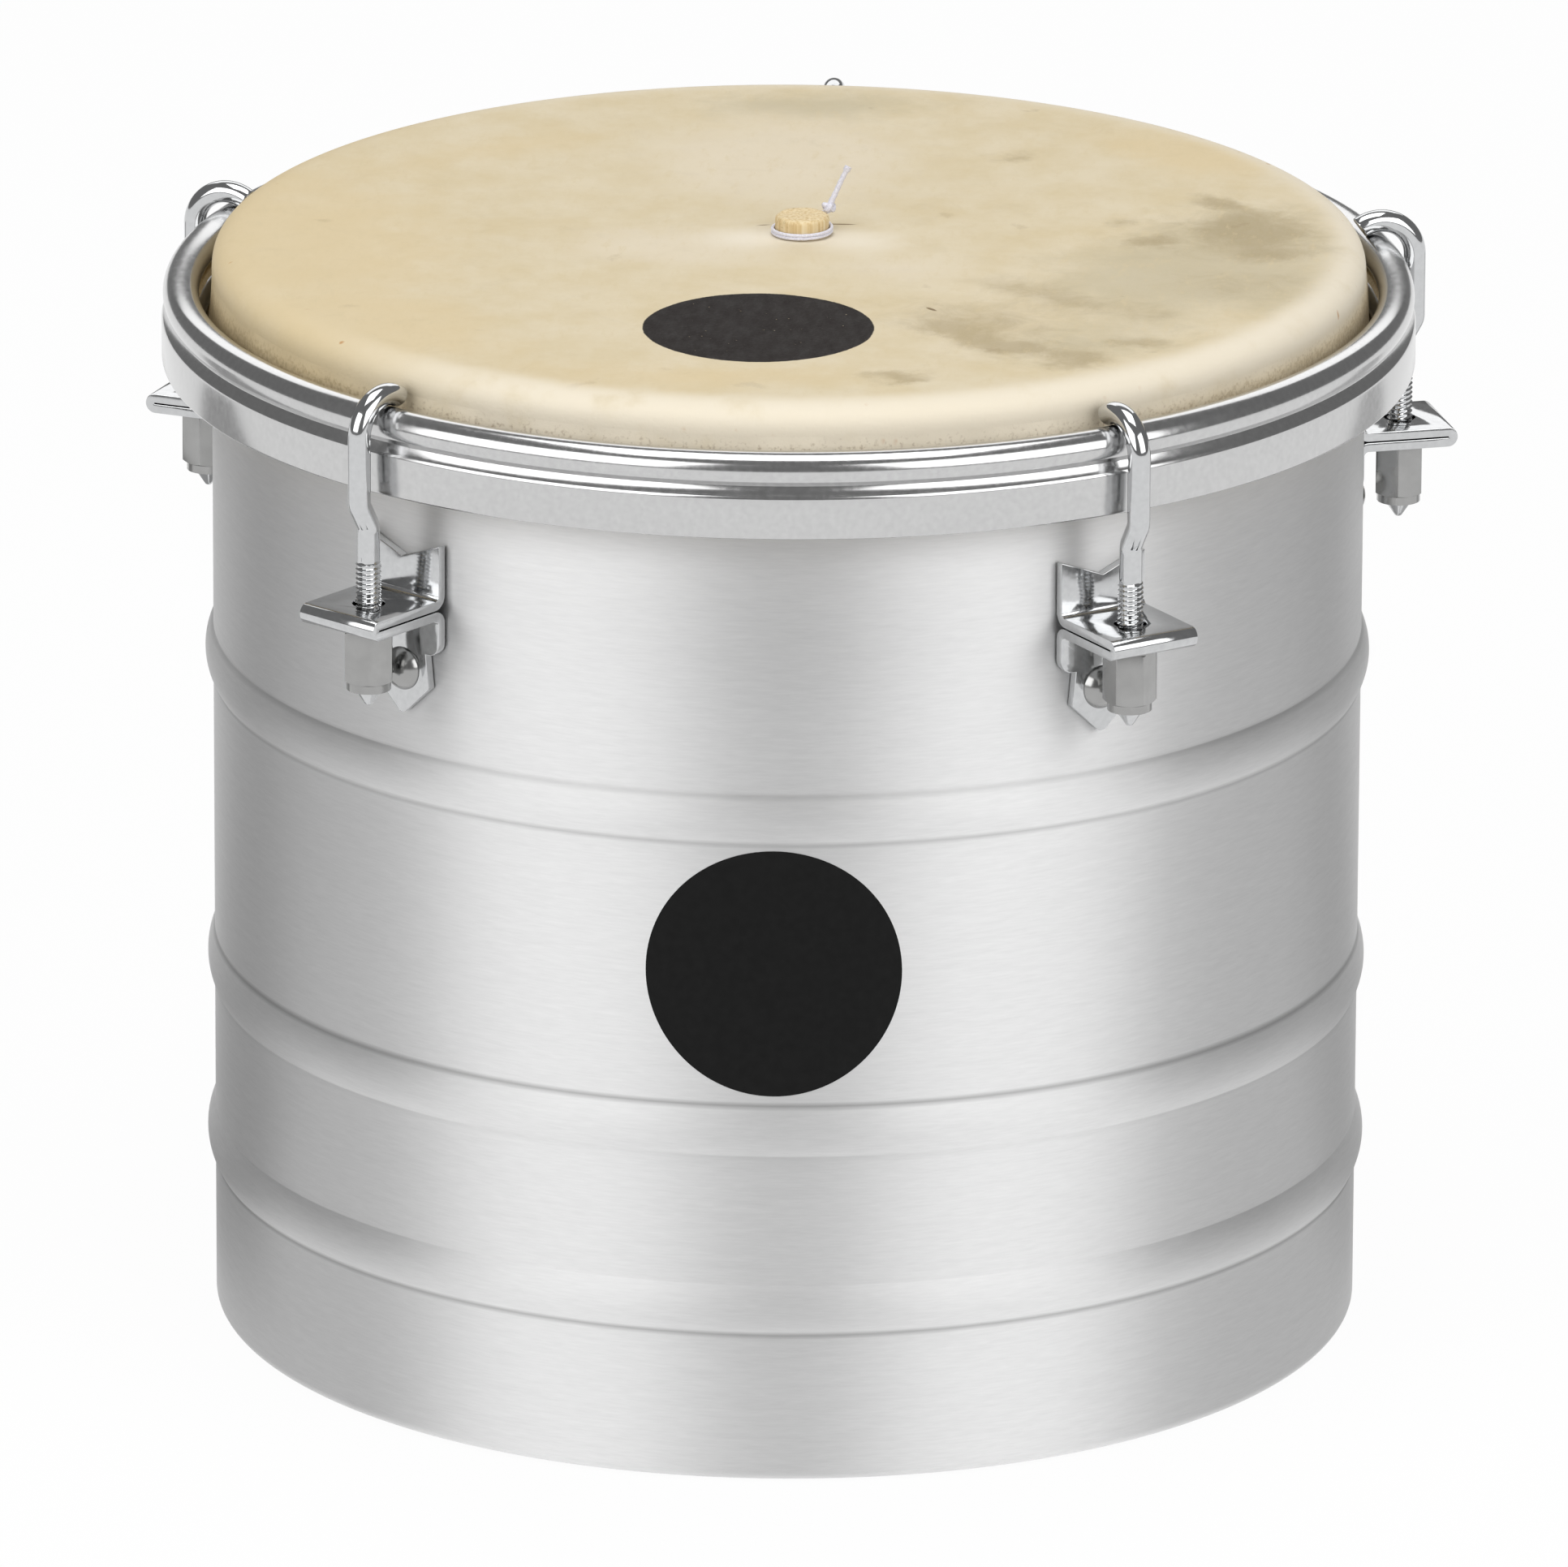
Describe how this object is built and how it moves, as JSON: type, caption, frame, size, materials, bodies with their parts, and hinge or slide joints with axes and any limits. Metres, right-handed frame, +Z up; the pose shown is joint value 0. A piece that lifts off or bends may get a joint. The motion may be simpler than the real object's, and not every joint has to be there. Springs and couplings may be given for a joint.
{
  "type": "cuica friction drum",
  "caption": "Friction drum with a beaded metal shell open at the foot, a goatskin head drawn down by hooks and nuts, and a stick tied to the skin's middle.",
  "frame": {"origin": "on the drum's axis, in the plane of the flat rim that the drum stands on", "axes": "+Z up the drum's axis to the skin; -Y is the front, the middle of the gap between the two front lugs; +X is to the right seen from the front"},
  "size_m": [0.2882, 0.284, 0.2555],
  "materials": {
    "aluminium": "spun and brushed round the drum, satin",
    "chrome": "bright plated steel",
    "steel": "plain drawn steel rod",
    "zinc_plate": "bright zinc plated steel",
    "goatskin": "dried goatskin, matt, mottled",
    "bamboo": "bare bamboo",
    "thread": "white twisted thread"
  },
  "bodies": {
    "shell_body": {"shell": "aluminium", "bearing_edge": "aluminium", "goatskin_head": "goatskin", "goatskin_shoulder": "goatskin", "goatskin_collar": "goatskin", "washer_1": "zinc_plate", "washer_2": "zinc_plate", "washer_3": "zinc_plate", "washer_4": "zinc_plate", "washer_5": "zinc_plate", "lug_bracket_1": "chrome", "lug_bracket_2": "chrome", "lug_bracket_3": "chrome", "lug_bracket_4": "chrome", "lug_bracket_5": "chrome", "bracket_bolt_1": "zinc_plate", "bracket_bolt_2": "zinc_plate", "bracket_bolt_3": "zinc_plate", "bracket_bolt_4": "zinc_plate", "bracket_bolt_5": "zinc_plate", "inner_washer_1": "zinc_plate", "inner_washer_2": "zinc_plate", "inner_washer_3": "zinc_plate", "inner_washer_4": "zinc_plate", "inner_washer_5": "zinc_plate", "inner_nut_1": "zinc_plate", "inner_nut_2": "zinc_plate", "inner_nut_3": "zinc_plate", "inner_nut_4": "zinc_plate", "inner_nut_5": "zinc_plate"},
    "hoop": {"counter_hoop_rod": "chrome", "counter_hoop_band": "chrome", "flesh_hoop": "steel", "goatskin_tuck": "goatskin", "tension_hook_1": "chrome", "tension_hook_2": "chrome", "tension_hook_3": "chrome", "tension_hook_4": "chrome", "tension_hook_5": "chrome"},
    "nut_1": {"tuning_nut_1": "zinc_plate"},
    "nut_2": {"tuning_nut_2": "zinc_plate"},
    "nut_3": {"tuning_nut_3": "zinc_plate"},
    "nut_4": {"tuning_nut_4": "zinc_plate"},
    "nut_5": {"tuning_nut_5": "zinc_plate"},
    "skin_middle": {"goatskin_centre": "goatskin", "lower_binding": "thread"},
    "knotted_thread": {"upper_binding": "thread"},
    "stick": {"bamboo_stick": "bamboo"}
  },
  "joints": [
    {"name": "hoop_draw", "type": "slide", "parent": "shell_body", "child": "hoop", "axis": [0, 0, 1], "range_m": [-0.003, 0.004], "deforming": ["goatskin_collar"]},
    {"name": "nut_1_turn", "type": "hinge", "parent": "shell_body", "child": "nut_1", "pos_m": [0.08095, -0.11142, 0.1797], "axis": [0, 0, 1], "range_deg": [-1370, 1030]},
    {"name": "nut_2_turn", "type": "hinge", "parent": "shell_body", "child": "nut_2", "pos_m": [0.13099, 0.04256, 0.1797], "axis": [0, 0, 1], "range_deg": [-1370, 1030]},
    {"name": "nut_3_turn", "type": "hinge", "parent": "shell_body", "child": "nut_3", "pos_m": [0, 0.13773, 0.1797], "axis": [0, 0, 1], "range_deg": [-1370, 1030]},
    {"name": "nut_4_turn", "type": "hinge", "parent": "shell_body", "child": "nut_4", "pos_m": [-0.13099, 0.04256, 0.1797], "axis": [0, 0, 1], "range_deg": [-1370, 1030]},
    {"name": "nut_5_turn", "type": "hinge", "parent": "shell_body", "child": "nut_5", "pos_m": [-0.08095, -0.11142, 0.1797], "axis": [0, 0, 1], "range_deg": [-1370, 1030]},
    {"name": "stick_pump", "type": "slide", "parent": "shell_body", "child": "skin_middle", "axis": [0, 0, 1], "range_m": [-0.003, 0.003], "stiffness_N_per_m": 2000, "deforming": ["goatskin_centre"]},
    {"name": "stick_tilt_fore", "type": "hinge", "parent": "skin_middle", "child": "knotted_thread", "pos_m": [0.0028, 0.0002, 0.2413], "axis": [1, 0, 0], "range_deg": [-3, 3], "stiffness_Nm_per_rad": 0.5},
    {"name": "stick_tilt_aside", "type": "hinge", "parent": "knotted_thread", "child": "stick", "pos_m": [0.0028, 0.0002, 0.2413], "axis": [0, 1, 0], "range_deg": [-3, 3], "stiffness_Nm_per_rad": 0.5}
  ],
  "couplings": [
    {"joint": "nut_1_turn", "follows": "hoop_draw", "rad_per_m": -5936.9},
    {"joint": "nut_2_turn", "follows": "hoop_draw", "rad_per_m": -5936.9},
    {"joint": "nut_3_turn", "follows": "hoop_draw", "rad_per_m": -5936.9},
    {"joint": "nut_4_turn", "follows": "hoop_draw", "rad_per_m": -5936.9},
    {"joint": "nut_5_turn", "follows": "hoop_draw", "rad_per_m": -5936.9}
  ]
}
